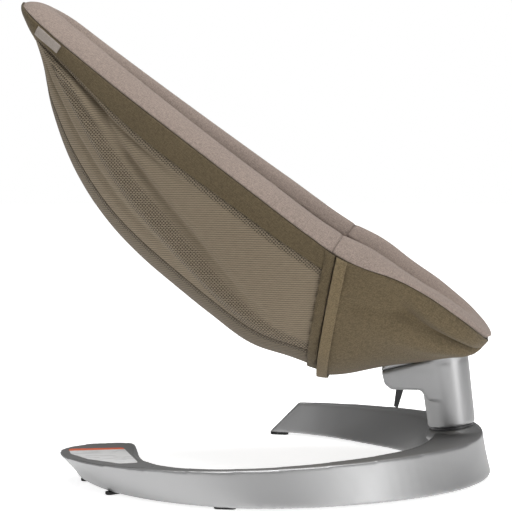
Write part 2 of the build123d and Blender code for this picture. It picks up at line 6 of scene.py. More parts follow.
import bmesh
import bpy
import numpy as np
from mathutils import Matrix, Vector


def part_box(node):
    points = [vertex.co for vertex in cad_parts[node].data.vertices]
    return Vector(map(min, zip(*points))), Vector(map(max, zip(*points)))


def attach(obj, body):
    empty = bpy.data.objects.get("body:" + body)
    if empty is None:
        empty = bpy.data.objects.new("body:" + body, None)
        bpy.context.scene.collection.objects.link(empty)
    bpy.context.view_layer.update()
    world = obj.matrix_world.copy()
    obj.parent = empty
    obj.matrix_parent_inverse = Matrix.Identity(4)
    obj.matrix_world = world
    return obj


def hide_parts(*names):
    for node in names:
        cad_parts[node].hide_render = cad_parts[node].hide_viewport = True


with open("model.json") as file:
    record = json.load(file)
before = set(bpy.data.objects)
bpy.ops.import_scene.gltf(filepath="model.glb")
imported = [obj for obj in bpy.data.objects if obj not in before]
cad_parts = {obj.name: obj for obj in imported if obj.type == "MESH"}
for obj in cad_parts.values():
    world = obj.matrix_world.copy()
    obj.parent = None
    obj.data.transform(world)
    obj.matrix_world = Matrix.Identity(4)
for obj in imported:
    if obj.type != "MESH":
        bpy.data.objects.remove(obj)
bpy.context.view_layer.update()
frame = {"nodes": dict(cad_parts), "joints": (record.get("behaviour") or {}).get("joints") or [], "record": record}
nodes = frame["nodes"]
joints = {joint["name"]: joint for joint in frame["joints"]}
MM = 0.001
scene = bpy.context.scene

# ================================ Rim plane ================================
RIM_ANGLE = radians(35.2)
PIVOT_TO_RIM = np.array([49.0, 0.0, 9.0])
ORIGIN = np.array(joints["recline"]["pos_m"]) / MM + PIVOT_TO_RIM
U_DIR = np.array([-cos(RIM_ANGLE), 0, sin(RIM_ANGLE)])
Y_DIR = np.array([0.0, 1.0, 0.0])
N_DIR = np.array([sin(RIM_ANGLE), 0, cos(RIM_ANGLE)])

# Corners of the frame outline's near half, as (u, half width, corner radius).
# u runs from the feet to the head.
RIM_CORNERS = [(17, 56, 90), (105, 116, 230), (215, 136, 340), (400, 106, 1500), (650.6, 40, 42)]
SEAM_U = 200.0
# The piping's distance outside the frame outline, and the cloth's inside the piping
PIPING_OUT = 18.0
CLOTH_IN = 1.2
CLOTH_DROP = 0.8
# The seat's last station at the head end
HEAD_END = 668.3
# Heights above the rim plane
PIPING = [(-2, -3), (20, 1), (83, 5.5), (130, 1.5), (160, -7), (192, -13.5), (230, -13.7),
          (304, -12.5), (407, -10.7), (516, -9.1), (560, -7.5), (602, -5.6), (626, -3.4),
          (645, -1.2), (656, 0.5), (669, 3.5)]
CREST = [(-2, 8), (30, 12), (73, 13.3), (116, 12.5), (165, 12), (202, 7), (308, 6.6), (415, 8.5),
         (516, 11.7), (582, 14.5), (624, 16.5), (650, 16.0), (669, 14.5)]
# Depths of the lowest line below the rim plane
SLING_LOW = [(110, 132), (134, 143), (174, 155), (214, 168), (277, 169), (328, 166.5),
             (384, 162), (433, 153), (477, 138.5), (517, 119), (552, 95.5), (581, 71),
             (599, 50.5), (634, 22), (650, 12.5), (661, 6.5), (668.6, 0.5)]
COVER_LOW = [(-1, 3), (1, 18), (4, 27), (10, 35), (23, 46), (45, 67), (78, 98), (115, 137),
             (128, 147), (160, 156), (210, 168)]
BAND_HEIGHT = [(100, 19), (218, 20), (263, 22), (317, 23.5), (474, 24), (520, 20), (570, 15),
               (600, 13), (625, 14), (645, 18), (669, 30)]
LINER_LOW = [(34, 8), (50, 13), (68, 19.5), (86, 32), (110, 61), (150, 110), (200, 144),
             (290, 153), (384, 146), (477, 122), (552, 79), (596, 37), (628, 16), (640, 12)]
LINER_HALF = [(34, 44), (50, 66), (68, 85), (86, 97), (110, 112), (150, 123), (200, 129),
              (290, 126), (384, 107), (477, 85), (552, 67), (596, 54), (628, 40), (640, 28)]
# Half width of the back panel, from one seam to the middle
BACK_HALF = [(110, 80), (222, 84), (276, 79), (356, 72), (434, 63), (512, 55), (572, 46),
             (668, 14)]
# Slanted joint between the sling and the front cover, as (u, height)
JOINT_TOP = (196.0, -10.0)
JOINT_LOW = (136.0, -150.0)


def curve(table):
    """Smooth function through the rows of a table."""
    xs, ys = np.array(table, float).T
    slopes = np.gradient(ys, xs)

    def value(x):
        x = np.clip(np.asarray(x, float), xs[0], xs[-1])
        i = np.clip(np.searchsorted(xs, x) - 1, 0, len(xs) - 2)
        width = xs[i + 1] - xs[i]
        t = (x - xs[i]) / width
        return ((1 + 2 * t) * (1 - t) ** 2 * ys[i] + t * (1 - t) ** 2 * width * slopes[i]
                + t * t * (3 - 2 * t) * ys[i + 1] + t * t * (t - 1) * width * slopes[i + 1])
    return value


piping_height = curve(PIPING)
crest_height = curve(CREST)
sling_low = curve(SLING_LOW)
cover_low = curve(COVER_LOW)
band_height = curve(BAND_HEIGHT)
liner_low = curve(LINER_LOW)
liner_half = curve(LINER_HALF)
back_half = curve(BACK_HALF)


def place(u, y, h):
    """Seat coordinates in millimetres to row-frame metres."""
    u, y, h = (np.asarray(v, float)[..., None] for v in np.broadcast_arrays(u, y, h))
    return (ORIGIN + u * U_DIR + y * Y_DIR + h * N_DIR) * MM


def rim_loop(count=520):
    """Evenly spaced points of the frame outline, from the feet round by the near side and back.

    Returns arrays: u, y, the outward normal's u and y, and the distance travelled.
    """
    corners = [(c[0], c[1]) for c in RIM_CORNERS]
    knots = [np.array(knot) for knot in ((corners[0][0], 0.0), *corners, (corners[-1][0], 0.0))]
    half = [knots[0]]
    for i, (u, y, radius) in enumerate(RIM_CORNERS, 1):
        arriving = (knots[i] - knots[i - 1]) / np.linalg.norm(knots[i] - knots[i - 1])
        leaving = (knots[i + 1] - knots[i]) / np.linalg.norm(knots[i + 1] - knots[i])
        turn = np.arccos(arriving @ leaving)
        tangent = radius * np.tan(turn / 2)
        inward = np.array((arriving[1], -arriving[0]))
        start = knots[i] - arriving * tangent
        for angle in np.linspace(0, turn, 12):
            half.append(start + arriving * radius * sin(angle) + inward * radius * (1 - cos(angle)))
    half.append(knots[-1])
    near = np.array(half) * (1, -1)
    far = near[::-1][1:] * (1, -1)
    line = np.vstack([near, far])
    lengths = np.concatenate([[0], np.cumsum(np.linalg.norm(np.diff(line, axis=0), axis=1))])
    s = np.linspace(0, lengths[-1], count, endpoint=False)
    u = np.interp(s, lengths, line[:, 0])
    y = np.interp(s, lengths, line[:, 1])
    du = np.roll(u, -2) - np.roll(u, 2)
    dy = np.roll(y, -2) - np.roll(y, 2)
    size = np.hypot(du, dy)
    return u, y, dy / size, -du / size, s


loop_u, loop_y, loop_nu, loop_ny, loop_s = rim_loop()


def smooth_wrap(values, passes=6):
    """Running average round the closed loop."""
    for _ in range(passes):
        values = (np.roll(values, 1) + 2 * values + np.roll(values, -1)) / 4
    return values


loop_nu, loop_ny = smooth_wrap(loop_nu), smooth_wrap(loop_ny)
loop_nu, loop_ny = loop_nu / np.hypot(loop_nu, loop_ny), loop_ny / np.hypot(loop_nu, loop_ny)
near = loop_y <= 0.001
outer_u = (loop_u + loop_nu * PIPING_OUT)[near]
outer_half = -(loop_y + loop_ny * PIPING_OUT)[near]


def piping_half(u):
    """Half width of the seat at its piping."""
    return np.interp(u, outer_u, outer_half)


def cloth_half(u):
    """Half width of the hanging cloth at its upper edge."""
    return np.maximum(piping_half(u) - CLOTH_IN, 1.0)


def bowl_drops(u, low):
    """Depths of the hanging cloth's upper edge and lowest line below the rim plane."""
    top = -piping_height(u) + CLOTH_DROP
    return top, np.maximum(low(u), top + 1.0)


def bowl_points(u, angle, low):
    """Points of the hanging cloth: angle 0 is the piping and 90 degrees the lowest line."""
    top, bottom = bowl_drops(u, low)
    return cloth_half(u) * np.cos(angle), -(top + (bottom - top) * np.sin(angle))


def angle_at_drop(u, drop, low):
    """Angle of the cloth a given drop below its upper edge."""
    top, bottom = bowl_drops(u, low)
    return np.arcsin(np.clip(drop / (bottom - top), 0, 0.995))


def angle_at_y(u, y):
    """Angle of the cloth a given way out from the seat's middle."""
    return np.arccos(np.clip(y / cloth_half(u), 0.0, 0.96))


def sling_rows(low_u, count):
    """Stations along the seat, closer together towards the head end."""
    t = np.linspace(0, 1, count)
    return low_u + (HEAD_END - low_u) * (1 - (1 - t) ** 1.7)


def bowl_depth(u, y, low):
    """Depth of the hanging cloth below the rim plane at a point of the plan."""
    top, bottom = bowl_drops(u, low)
    reach = np.clip(np.abs(y) / cloth_half(u), 0, 1)
    return top + (bottom - top) * np.sqrt(1 - reach ** 2)


# ================================ Mesh helpers ================================
def add_object(name, data):
    """New object in the scene."""
    obj = bpy.data.objects.new(name, data)
    scene.collection.objects.link(obj)
    return obj


def take_mesh(name, mesh):
    """Mesh data from a finished edit mesh."""
    data = bpy.data.meshes.new(name)
    mesh.to_mesh(data)
    mesh.free()
    return data


def plain_mesh(name, verts, faces):
    """Mesh data from points and faces."""
    data = bpy.data.meshes.new(name)
    data.from_pydata([tuple(v) for v in verts], [], faces)
    return data


def shade_smooth(obj):
    """Smooth shading on every face."""
    obj.data.polygons.foreach_set("use_smooth", [True] * len(obj.data.polygons))


def mesh_object(name, verts, faces, uvs, sides=None):
    """Mesh piece with smooth shading.

    uvs and sides are each point's coordinates for the cloth patterns, in metres.
    """
    data = plain_mesh(name, verts, faces)
    for layer_name, values in (("UVMap", uvs), ("Side", sides)):
        if values is not None:
            layer = data.uv_layers.new(name=layer_name)
            values = np.asarray(values, float)
            index = np.zeros(len(data.loops), int)
            data.loops.foreach_get("vertex_index", index)
            layer.data.foreach_set("uv", values[index].ravel())
    obj = add_object(name, data)
    shade_smooth(obj)
    data.update()
    return obj


def grid_faces(rows, cols, wrap_cols=False):
    """Four-sided faces of a grid of points, closed round its columns if asked."""
    faces = []
    for i in range(rows - 1):
        for j in range(cols if wrap_cols else cols - 1):
            beside = (j + 1) % cols
            faces.append((i * cols + j, i * cols + beside,
                          (i + 1) * cols + beside, (i + 1) * cols + j))
    return faces


def solidify(obj, thickness):
    """Gives a sheet its thickness, on the inner side."""
    modifier = obj.modifiers.new("thick", "SOLIDIFY")
    modifier.thickness = thickness * MM
    modifier.offset = -1.0


def apply_modifiers(obj):
    """Replaces the mesh by its evaluated form."""
    graph = bpy.context.evaluated_depsgraph_get()
    done = bpy.data.meshes.new_from_object(obj.evaluated_get(graph))
    obj.modifiers.clear()
    obj.data = done


def capped_faces(rows, cols):
    """Faces of a tube of rows of points, with both its ends closed."""
    last = (rows - 1) * cols
    return [*grid_faces(rows, cols, wrap_cols=True), tuple(range(cols))[::-1],
            tuple(range(last, last + cols))]


def running_length(steps):
    """Distance travelled at each point of a line, from the steps between them."""
    return np.concatenate([[0], np.cumsum(steps)])


def grid_normals(points, shape):
    """Unit normals of a grid of points."""
    p = points.reshape(*shape, 3)
    du = np.gradient(p, axis=0)
    dv = np.gradient(p, axis=1)
    n = np.cross(du, dv)
    n /= np.maximum(np.linalg.norm(n, axis=2, keepdims=True), 1e-12)
    return n.reshape(-1, 3)


def cut(obj, keep_low, keep_high):
    """Keeps the part between two distances from the slanted joint, towards the head end."""
    top = place(JOINT_TOP[0], 0, JOINT_TOP[1])
    low = place(JOINT_LOW[0], 0, JOINT_LOW[1])
    along = (top - low) / np.linalg.norm(top - low)
    normal = np.cross(along, Y_DIR)
    normal *= np.sign(normal @ U_DIR)
    mesh = bmesh.new()
    mesh.from_mesh(obj.data)
    for distance, side in ((keep_low, -1), (keep_high, 1)):
        if distance is not None:
            everything = mesh.verts[:] + mesh.edges[:] + mesh.faces[:]
            bmesh.ops.bisect_plane(
                mesh, geom=everything, dist=1e-6, clear_outer=True,
                plane_co=tuple(low + normal * distance * MM), plane_no=tuple(normal * side))
    mesh.to_mesh(obj.data)
    mesh.free()


def sheet_size(points, shape):
    """Flat width and length of a grid of points, in metres."""
    p = points.reshape(*shape, 3)
    length = np.linalg.norm(np.diff(p, axis=0), axis=2).sum(0).max()
    width = np.linalg.norm(np.diff(p, axis=1), axis=2).sum(1).max()
    return float(width), float(length)


def face_area(obj):
    """Area of all the faces, in square metres."""
    return sum(face.area for face in obj.data.polygons)


# ================================ Materials ================================
def new_material(name):
    """New material with its node tree and main shader."""
    material = bpy.data.materials.new(name)
    material.use_nodes = True
    tree = material.node_tree
    return material, tree, tree.nodes["Principled BSDF"]


def coords(tree, layer, scale, rotation=0.0):
    """Pattern coordinates from one of the cloth's own layers."""
    uv = tree.nodes.new("ShaderNodeUVMap")
    uv.uv_map = layer
    mapping = tree.nodes.new("ShaderNodeMapping")
    mapping.inputs["Scale"].default_value = (scale[0], scale[1], 1)
    mapping.inputs["Rotation"].default_value = (0, 0, rotation)
    tree.links.new(uv.outputs["UV"], mapping.inputs["Vector"])
    return mapping.outputs["Vector"]


def noise(tree, vector, detail=2.0):
    """Noise value at pattern coordinates."""
    made = tree.nodes.new("ShaderNodeTexNoise")
    made.inputs["Scale"].default_value = 1.0
    made.inputs["Detail"].default_value = detail
    tree.links.new(vector, made.inputs["Vector"])
    return made.outputs["Fac"]


def maths(tree, operation, *values):
    """Result of one sum on numbers or other nodes' outputs."""
    made = tree.nodes.new("ShaderNodeMath")
    made.operation = operation
    for index, value in enumerate(values):
        if isinstance(value, (int, float)):
            made.inputs[index].default_value = value
        else:
            tree.links.new(value, made.inputs[index])
    return made.outputs[0]


def weighed(tree, a, share_a, b, share_b):
    """Weighted sum of two values."""
    return maths(tree, "ADD", maths(tree, "MULTIPLY", a, share_a),
                 maths(tree, "MULTIPLY", b, share_b))


def spread(tree, value, low, high, to_low=0.0, to_high=1.0):
    """Smooth step of a value from one range to another."""
    made = tree.nodes.new("ShaderNodeMapRange")
    limits = {"From Min": low, "From Max": high, "To Min": to_low, "To Max": to_high}
    for key, number in limits.items():
        made.inputs[key].default_value = number
    made.interpolation_type = "SMOOTHSTEP"
    tree.links.new(value, made.inputs["Value"])
    return made.outputs["Result"]


def mix_colour(tree, factor, a, b):
    """Blend of two colours, each fixed or from another node."""
    made = tree.nodes.new("ShaderNodeMix")
    made.data_type = "RGBA"
    for index, value in ((6, a), (7, b)):
        if isinstance(value, tuple):
            made.inputs[index].default_value = (*value, 1)
        else:
            tree.links.new(value, made.inputs[index])
    tree.links.new(factor, made.inputs[0])
    return made.outputs[2]


def bump(tree, shader, height, distance, strength):
    """Fine relief on a shader."""
    made = tree.nodes.new("ShaderNodeBump")
    made.inputs["Distance"].default_value = distance
    made.inputs["Strength"].default_value = strength
    tree.links.new(height, made.inputs["Height"])
    tree.links.new(made.outputs["Normal"], shader.inputs["Normal"])


def shade(colour, factor):
    """The same colour, lighter or darker."""
    return tuple(channel * factor for channel in colour)


def woven(name, colour, contrast):
    """Plain weave of melange yarn: slubs along and across, fine grain and slow variation."""
    material, tree, shader = new_material(name)
    along = noise(tree, coords(tree, "UVMap", (160, 1000)))
    across = noise(tree, coords(tree, "UVMap", (1100, 170)))
    grain = noise(tree, coords(tree, "UVMap", (700, 700)), 1.0)
    slow = noise(tree, coords(tree, "UVMap", (14, 14)))
    yarn = maths(tree, "ADD", maths(tree, "ADD", along, across), grain)
    tone = spread(tree, yarn, 1.15, 1.85)
    tone = weighed(tree, tone, 0.8, slow, 0.4)
    base = mix_colour(tree, tone, shade(colour, 1 - contrast), shade(colour, 1 + contrast))
    tree.links.new(base, shader.inputs["Base Color"])
    shader.inputs["Roughness"].default_value = 0.92
    shader.inputs["Sheen Weight"].default_value = 0.06
    shader.inputs["Sheen Roughness"].default_value = 0.5
    shader.inputs["Specular IOR Level"].default_value = 0.15
    bump(tree, shader, yarn, 0.0004, 0.5)
    return material


def knitted(name, colour, hole):
    """Spacer knit: fine level rows, with open eyelets below the band and in a slanting stripe."""
    material, tree, shader = new_material(name)
    rows = tree.nodes.new("ShaderNodeTexWave")
    rows.bands_direction = "Y"
    rows.inputs["Scale"].default_value = 1.0
    rows.inputs["Distortion"].default_value = 0.6
    tree.links.new(coords(tree, "Side", (60, 130)), rows.inputs["Vector"])
    eyes = tree.nodes.new("ShaderNodeTexVoronoi")
    eyes.inputs["Scale"].default_value = 1.0
    eyes.inputs["Randomness"].default_value = 0.12
    tree.links.new(coords(tree, "Side", (370, 370), radians(45)), eyes.inputs["Vector"])
    holes = spread(tree, eyes.outputs["Distance"], 0.46, 0.2)
    separate = tree.nodes.new("ShaderNodeSeparateXYZ")
    tree.links.new(coords(tree, "UVMap", (1, 1)), separate.inputs["Vector"])
    u, v = separate.outputs["X"], separate.outputs["Y"]
    wander = noise(tree, coords(tree, "UVMap", (9, 4)))
    edge = spread(tree, maths(tree, "ADD", v, maths(tree, "MULTIPLY", wander, 0.03)), 0.085, 0.065)
    stripe_line = maths(tree, "ADD", v, maths(tree, "MULTIPLY", u, 1.8))
    stripe_line = maths(tree, "ADD", stripe_line, maths(tree, "MULTIPLY", wander, 0.12))
    stripe_off = maths(tree, "ABSOLUTE", maths(tree, "SUBTRACT", stripe_line, 1.35))
    open_zone = maths(tree, "MAXIMUM", edge, spread(tree, stripe_off, 0.15, 0.08))
    openness = maths(tree, "ADD", maths(tree, "MULTIPLY", open_zone, 0.85), 0.12)
    mask = maths(tree, "MULTIPLY", holes, openness)
    slub = noise(tree, coords(tree, "Side", (120, 700)))
    tone = weighed(tree, rows.outputs["Fac"], 0.6, slub, 0.4)
    cloth = mix_colour(tree, tone, shade(colour, 0.5), shade(colour, 1.5))
    base = mix_colour(tree, mask, cloth, hole)
    tree.links.new(base, shader.inputs["Base Color"])
    shader.inputs["Roughness"].default_value = 0.85
    shader.inputs["Sheen Weight"].default_value = 0.03
    shader.inputs["Specular IOR Level"].default_value = 0.2
    height = maths(tree, "SUBTRACT", maths(tree, "MULTIPLY", rows.outputs["Fac"], 0.25), mask)
    bump(tree, shader, height, 0.0006, 0.6)
    return material


def object_coords(tree, scale):
    """The piece's own coordinates."""
    source = tree.nodes.new("ShaderNodeTexCoord")
    mapping = tree.nodes.new("ShaderNodeMapping")
    mapping.inputs["Scale"].default_value = scale
    tree.links.new(source.outputs["Object"], mapping.inputs["Vector"])
    return mapping.outputs["Vector"]


def solid_finish(name, colour, rough, metal, grain, variation):
    """Paint, plastic, rubber or metal with fine grain and slow changes of gloss."""
    material, tree, shader = new_material(name)
    fine = noise(tree, object_coords(tree, (grain, grain, grain)))
    slow = noise(tree, object_coords(tree, (11, 11, 11)), 3.0)
    tone = weighed(tree, fine, 0.4, slow, 0.6)
    base = mix_colour(tree, tone, shade(colour, 1 - variation), shade(colour, 1 + variation))
    tree.links.new(base, shader.inputs["Base Color"])
    gloss = spread(tree, slow, 0.25, 0.75, rough - 0.04, rough + 0.05)
    tree.links.new(gloss, shader.inputs["Roughness"])
    shader.inputs["Metallic"].default_value = metal
    bump(tree, shader, fine, 0.00008, 0.35)
    return material


RIM_TAUPE = (0.222, 0.178, 0.153)
BAND_BROWN = (0.080, 0.061, 0.035)
MESH_BROWN = (0.162, 0.130, 0.090)
rim_cloth = woven("rim_cloth", RIM_TAUPE, 0.26)
band_cloth = woven("band_cloth", BAND_BROWN, 0.32)
cover_cloth = woven("cover_cloth", shade(BAND_BROWN, 1.16), 0.34)
hem_cloth = woven("hem_cloth", shade(BAND_BROWN, 1.6), 0.3)
liner_cloth = woven("liner_cloth", shade(RIM_TAUPE, 1.05), 0.14)
tag_cloth = woven("tag_cloth", (0.25, 0.22, 0.195), 0.12)
strap_cloth = woven("strap_cloth", (0.07, 0.06, 0.05), 0.25)
# Very dark thread colour: on the back seams it is the seam's own colour; on the rim piping it is partly the cord's
# colour and partly painted shade of the crease between pad and band.
seam_thread_and_crease_shade = woven("seam_thread_and_crease_shade", (0.045, 0.034, 0.022), 0.2)
mesh_cloth = knitted("mesh_cloth", MESH_BROWN, (0.035, 0.028, 0.02))
back_cloth = knitted("back_cloth", shade(MESH_BROWN, 0.70), (0.03, 0.024, 0.018))

silver = solid_finish("silver_paint", (0.31, 0.31, 0.312), 0.44, 0.8, 1400, 0.04)
plate_grey = solid_finish("plate_grey", (0.17, 0.17, 0.17), 0.5, 0.3, 700, 0.12)
black_plastic = solid_finish("black_plastic", (0.018, 0.018, 0.02), 0.42, 0.0, 900, 0.2)
dark_rubber = solid_finish("dark_rubber", (0.012, 0.012, 0.012), 0.7, 0.0, 1200, 0.25)
bearing = solid_finish("bearing_plastic", (0.6, 0.6, 0.57), 0.4, 0.0, 500, 0.05)
steel = solid_finish("turned_steel", (0.5, 0.5, 0.51), 0.28, 1.0, 600, 0.08)
frame_metal = solid_finish("frame_metal", (0.45, 0.45, 0.46), 0.4, 0.9, 800, 0.08)


def label_finish():
    """Blank light grey label: a thin orange stripe along its far edge, and faint panels."""
    material, tree, shader = new_material("label_print")
    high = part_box("pad_label")[1]
    separate = tree.nodes.new("ShaderNodeSeparateXYZ")
    tree.links.new(object_coords(tree, (1, 1, 1)), separate.inputs["Vector"])
    x, y = separate.outputs["X"], separate.outputs["Y"]
    slant = maths(tree, "MULTIPLY", maths(tree, "SUBTRACT", x, high.x), 0.09)
    far_edge = maths(tree, "SUBTRACT", y, slant)
    stripe = spread(tree, far_edge, high.y - 0.0075, high.y - 0.0065)
    fine = noise(tree, object_coords(tree, (600, 600, 600)))
    patches = noise(tree, object_coords(tree, (60, 140, 60)), 1.0)
    panels = spread(tree, patches, 0.52, 0.56)
    paper = mix_colour(tree, panels, (0.68, 0.68, 0.68), (0.57, 0.57, 0.57))
    paper = mix_colour(tree, maths(tree, "MULTIPLY", fine, 0.2), paper, (0.6, 0.6, 0.6))
    base = mix_colour(tree, stripe, paper, (0.72, 0.13, 0.045))
    tree.links.new(base, shader.inputs["Base Color"])
    shader.inputs["Roughness"].default_value = 0.45
    bump(tree, shader, fine, 0.00005, 0.3)
    return material


FINISHES = {
    "cast_silver": silver, "plate_grey": plate_grey, "black_plastic": black_plastic,
    "bearing_plastic": bearing, "foot_rubber": dark_rubber, "steel": steel,
    "frame_metal": frame_metal, "label": label_finish(), "rim_fabric": rim_cloth,
    "cover_fabric": cover_cloth, "mesh_fabric": mesh_cloth, "liner_fabric": liner_cloth,
    "webbing": strap_cloth, "tag_fabric": tag_cloth,
}
for part in frame["record"]["subparts"]:
    thing = nodes[part["node"]]
    thing.data.materials.clear()
    thing.data.materials.append(FINISHES[part["material_slot"]])


# ================================ Castings ================================
# Stretches of the post's axis, as distances up it from the sway joint
POST_CORE = (30, 96.0)
COLLAR = (-12, -2.0)
# Sides of the arm beside the pivot, below and above the cap's parting line, as (X, Z)
ARM_HALF = 27.3
ARM_SIDE = [(156, 118), (228, 118), (223, 140), (208, 136), (178, 128), (154, 121.7)]
CAP_SIDE = [(155, 123.5), (178, 129.6), (207.5, 137.6), (207.5, 152), (192, 152), (172, 145),
            (158, 135)]
CONE_SIDES = 64
CONE_RINGS = 8


def cone_mesh(stretch, radius_low, radius_high):
    """Closed cone round a stretch of the post's axis."""
    foot = np.array(joints["sway"]["pos_m"]) / MM
    up = np.array(joints["sway"]["axis"])
    low, high = foot + up * stretch[0], foot + up * stretch[1]
    axis = (high - low) / np.linalg.norm(high - low)
    side = np.cross(axis, Y_DIR)
    side /= np.linalg.norm(side)
    other = np.cross(axis, side)
    angles = np.linspace(0, 2 * pi, CONE_SIDES, endpoint=False)
    turn = np.cos(angles)[:, None] * side + np.sin(angles)[:, None] * other
    rows = [low + turn * radius_low + (high - low) * t + turn * (radius_high - radius_low) * t
            for t in np.linspace(0, 1, CONE_RINGS)]
    last = (CONE_RINGS - 1) * CONE_SIDES
    faces = [tuple(range(CONE_SIDES))[::-1], *grid_faces(CONE_RINGS, CONE_SIDES, wrap_cols=True),
             tuple(range(last, last + CONE_SIDES))]
    return plain_mesh("cone", np.vstack(rows) * MM, faces)


def prism_mesh(outline, half):
    """Closed slab between two planes of constant Y, from its side outline."""
    count = len(outline)
    verts = [(x * MM, side * half * MM, z * MM) for side in (-1, 1) for x, z in outline]
    faces = [tuple(range(count)), tuple(range(count, 2 * count))[::-1]]
    for j in range(count):
        beside = (j + 1) % count
        faces.append((j, j + count, beside + count, beside))
    return plain_mesh("prism", verts, faces)


def keep_tallest(obj):
    """Drops every separate shell of a mesh but the tallest, and so its inner faces."""
    mesh = bmesh.new()
    mesh.from_mesh(obj.data)
    seen, shells = set(), []
    for first in mesh.verts:
        if first in seen:
            continue
        shell, waiting = [], [first]
        seen.add(first)
        while waiting:
            vert = waiting.pop()
            shell.append(vert)
            for edge in vert.link_edges:
                other = edge.other_vert(vert)
                if other not in seen:
                    seen.add(other)
                    waiting.append(other)
        shells.append(shell)

    def size(shell):
        heights = [vert.co.z for vert in shell]
        return max(heights) - min(heights) + len(shell) * 1e-9

    kept = set(max(shells, key=size))
    dropped = [vert for vert in mesh.verts if vert not in kept]
    bmesh.ops.delete(mesh, geom=dropped, context="VERTS")
    mesh.to_mesh(obj.data)
    mesh.free()


def casting(name, parts, fillers, voxel, passes, body):
    """Smooth casting grown over CAD pieces and fillers, with the sharp corners eased."""
    mesh = bmesh.new()
    for data in [nodes[part].data for part in parts] + fillers:
        mesh.from_mesh(data)
    obj = add_object(name, take_mesh(name, mesh))
    remesh = obj.modifiers.new("remesh", "REMESH")
    remesh.mode = "VOXEL"
    remesh.voxel_size = voxel * MM
    soften = obj.modifiers.new("soften", "SMOOTH")
    soften.factor = 0.5
    soften.iterations = passes
    apply_modifiers(obj)
    if body == "stand":
        keep_tallest(obj)
    shade_smooth(obj)
    obj.data.materials.clear()
    obj.data.materials.append(silver)
    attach(obj, body)
    return obj


ring = casting("cast_ring", ["base_ring", "base_floor", "foot_screws", "spindle"],
               [cone_mesh(COLLAR, 33, 28)], 1.7, 14, "stand")
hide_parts("base_ring")
post = casting("cast_post", ["post_housing"],
               [cone_mesh(POST_CORE, 28.1, 28.9), prism_mesh(ARM_SIDE, ARM_HALF)], 1.2, 20, "post")
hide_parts("post_housing")
cap = casting("cast_arm_cap", ["arm_cap"], [prism_mesh(CAP_SIDE, ARM_HALF)], 1.2, 12, "post")
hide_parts("arm_cap")


# ================================ Padded rim ================================
# How far the two lengths of the rim reach below the rim plane, and past their shared seam
HEAD_PAD_DEPTH = 27.0
FEET_PAD_DEPTH = 18.0
SEAM_LAP = 1.6
# Least gap between the pad's underside and the cloth
PAD_CLEAR = 2.5
SECTION_STEPS = 4


def pad_section(u, depth):
    """Closed section of the padded rim as (outward, height), from the piping over the crest."""
    pipe, crest = float(piping_height(u)), float(crest_height(u))
    rise = crest - pipe
    control = np.array([
        (PIPING_OUT, pipe), (PIPING_OUT + 0.6, pipe + 2.6), (14, pipe + 0.40 * rise + 1.5),
        (4, pipe + 0.78 * rise + 1.2), (-6, crest - 0.3), (-13, crest), (-20, crest - 4.5),
        (-24.5, crest - 13), (-25, -0.5 * depth), (-20, 2 - depth), (-6, -depth), (6, 2 - depth),
        (12, (pipe - depth) / 2)])
    steps = np.linspace(0, 1, SECTION_STEPS + 1)[:-1]
    points = []
    count = len(control)
    for i in range(count):
        a, b, c, d = (control[(i + k) % count] for k in (-1, 0, 1, 2))
        for t in steps:
            points.append(0.5 * (2 * b + (c - a) * t + (2 * a - 5 * b + 4 * c - d) * t ** 2
                                 + (3 * b - a - 3 * c + d) * t ** 3))
    return np.array(points)


def rim_pad(name, at_head, node_name):
    """One length of the padded rim, rounded in at both of its seams."""
    order = np.arange(len(loop_u))
    if not at_head:
        order = np.roll(order, len(order) // 2)
    if at_head:
        low, pad_depth, wanted = sling_low, HEAD_PAD_DEPTH, loop_u[order] > SEAM_U - SEAM_LAP
    else:
        low, pad_depth, wanted = cover_low, FEET_PAD_DEPTH, loop_u[order] <= SEAM_U + SEAM_LAP
    order = order[wanted]
    along = running_length(np.diff(loop_s[order]) % loop_s[-1])
    from_end = np.minimum(along, along[-1] - along)
    rows, uvs = [], []
    for index, end, travelled in zip(order, from_end, along):
        section = pad_section(loop_u[index], pad_depth)
        middle = section.mean(0)
        swell = 1 - 0.075 * np.exp(-end / 2.2) - 0.03 * np.exp(-end / 12.0)
        if not at_head:
            wave = (sin(travelled / 17.0) + 0.6 * sin(travelled / 9.3 + 1.0)
                    + 0.5 * sin(travelled / 27.0))
            swell *= 1 + 0.020 * wave * np.clip(end / 40.0, 0, 1)
        section = middle + (section - middle) * swell
        u = loop_u[index] + loop_nu[index] * section[:, 0]
        y = loop_y[index] + loop_ny[index] * section[:, 0]
        edge = piping_height(u) - 2.0
        under = section[:, 1] < edge
        lowest = np.minimum(PAD_CLEAR - bowl_depth(u, y, low), edge)
        height = np.where(under, np.maximum(section[:, 1], lowest), section[:, 1])
        rows.append(place(u, y, height))
        around = running_length(np.linalg.norm(np.diff(section, axis=0), axis=1))
        uvs.append(np.column_stack([np.full(len(around), travelled), around]) * MM)
    cols = len(rows[0])
    obj = mesh_object(name, np.vstack(rows), capped_faces(len(rows), cols), np.vstack(uvs))
    obj.data.materials.append(rim_cloth)
    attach(obj, "seat")
    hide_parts(node_name)


rim_pad("padded_rim_head", True, "head_rim_pad")
rim_pad("padded_rim_feet", False, "feet_rim_pad")


TUBE_SIDES = 8


